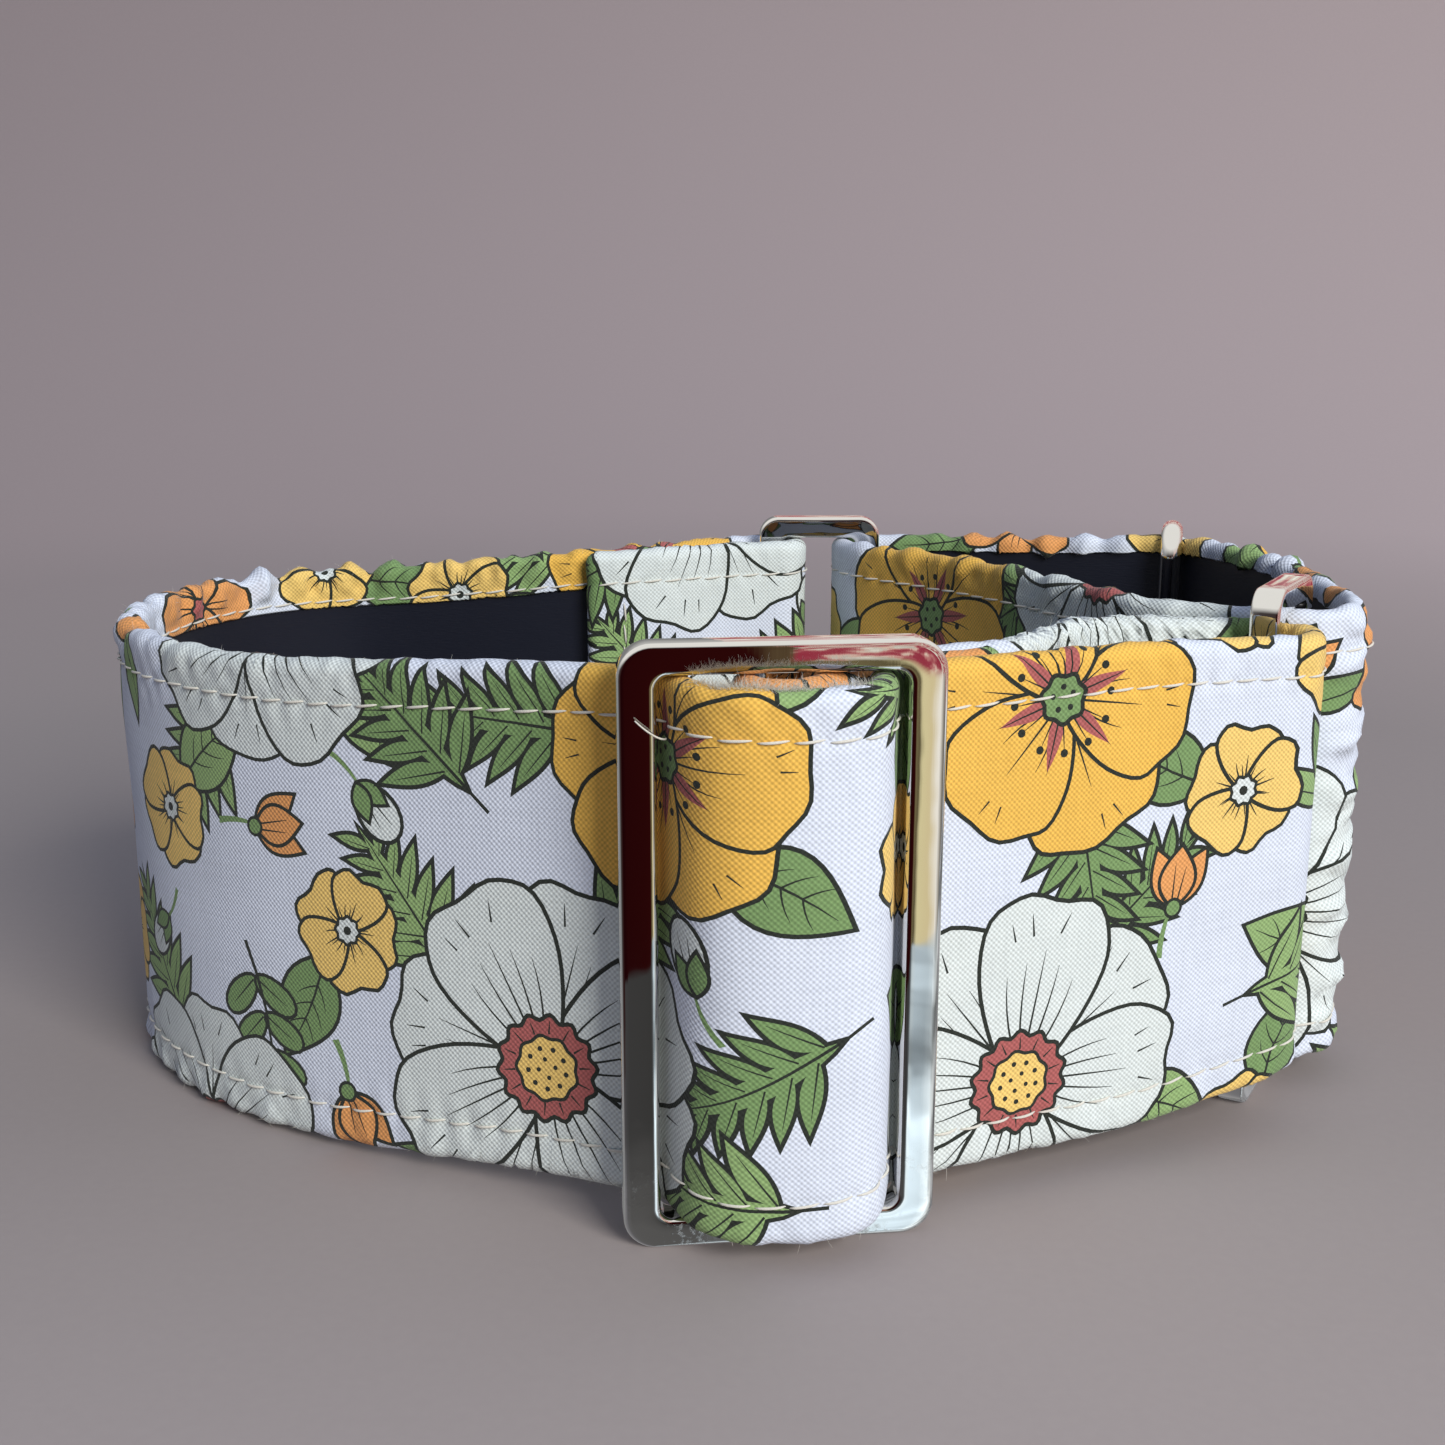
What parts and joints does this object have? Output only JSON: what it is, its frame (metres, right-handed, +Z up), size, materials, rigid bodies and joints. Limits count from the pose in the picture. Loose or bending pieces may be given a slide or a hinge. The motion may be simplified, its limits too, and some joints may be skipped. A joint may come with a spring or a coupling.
{
  "type": "martingale collar",
  "caption": "Wide lined fabric dog collar with a slider, two rectangular rings, and a fabric control loop that carries a D-ring for a lead.",
  "frame": {"origin": "centre of the overall box's footprint, on the surface that the collar stands on", "axes": "+Z up along the strap's width, +X along the collar's longest extent, from its round left end towards the control loop's end, +Y from the slider towards the D-ring"},
  "size_m": [0.1382, 0.1202, 0.056],
  "materials": {
    "print_cotton": "plain-woven cotton with a floral print",
    "webbing": "flat woven webbing, hidden inside",
    "satin_lining": "smooth dark navy satin",
    "polished_metal": "polished nickel plating"
  },
  "bodies": {
    "strap": {"strap_shell": "print_cotton", "strap_webbing": "webbing", "strap_lining": "satin_lining", "slider": "polished_metal"},
    "front_ring": {"front_ring": "polished_metal"},
    "back_ring": {"back_ring": "polished_metal"},
    "control_loop": {"loop_shell": "print_cotton", "loop_webbing": "webbing", "loop_lining": "satin_lining"},
    "d_ring": {"d_ring": "polished_metal"}
  },
  "joints": [
    {"name": "back_ring_swing", "type": "hinge", "parent": "strap", "child": "back_ring", "pos_m": [0.0062, 0.0388, 0.028], "axis": [0, 0, 1], "range_deg": [-6, 14]},
    {"name": "control_loop_swing", "type": "hinge", "parent": "back_ring", "child": "control_loop", "pos_m": [0.0194, 0.0388, 0.028], "axis": [0, 0, 1], "range_deg": [-17, 7.5]},
    {"name": "front_ring_swing", "type": "hinge", "parent": "strap", "child": "front_ring", "pos_m": [0.0546, -0.0258, 0.028], "axis": [0, 0, 1], "range_deg": [-6, 13.5]},
    {"name": "d_ring_swing", "type": "hinge", "parent": "control_loop", "child": "d_ring", "pos_m": [0.0587, 0.0282, 0.028], "axis": [0, 0, 1], "range_deg": [-85, 40]}
  ],
  "couplings": [
    {"joint": "control_loop_swing", "follows": "back_ring_swing", "ratio": -1.186},
    {"joint": "front_ring_swing", "follows": "back_ring_swing", "ratio": 0.93}
  ]
}
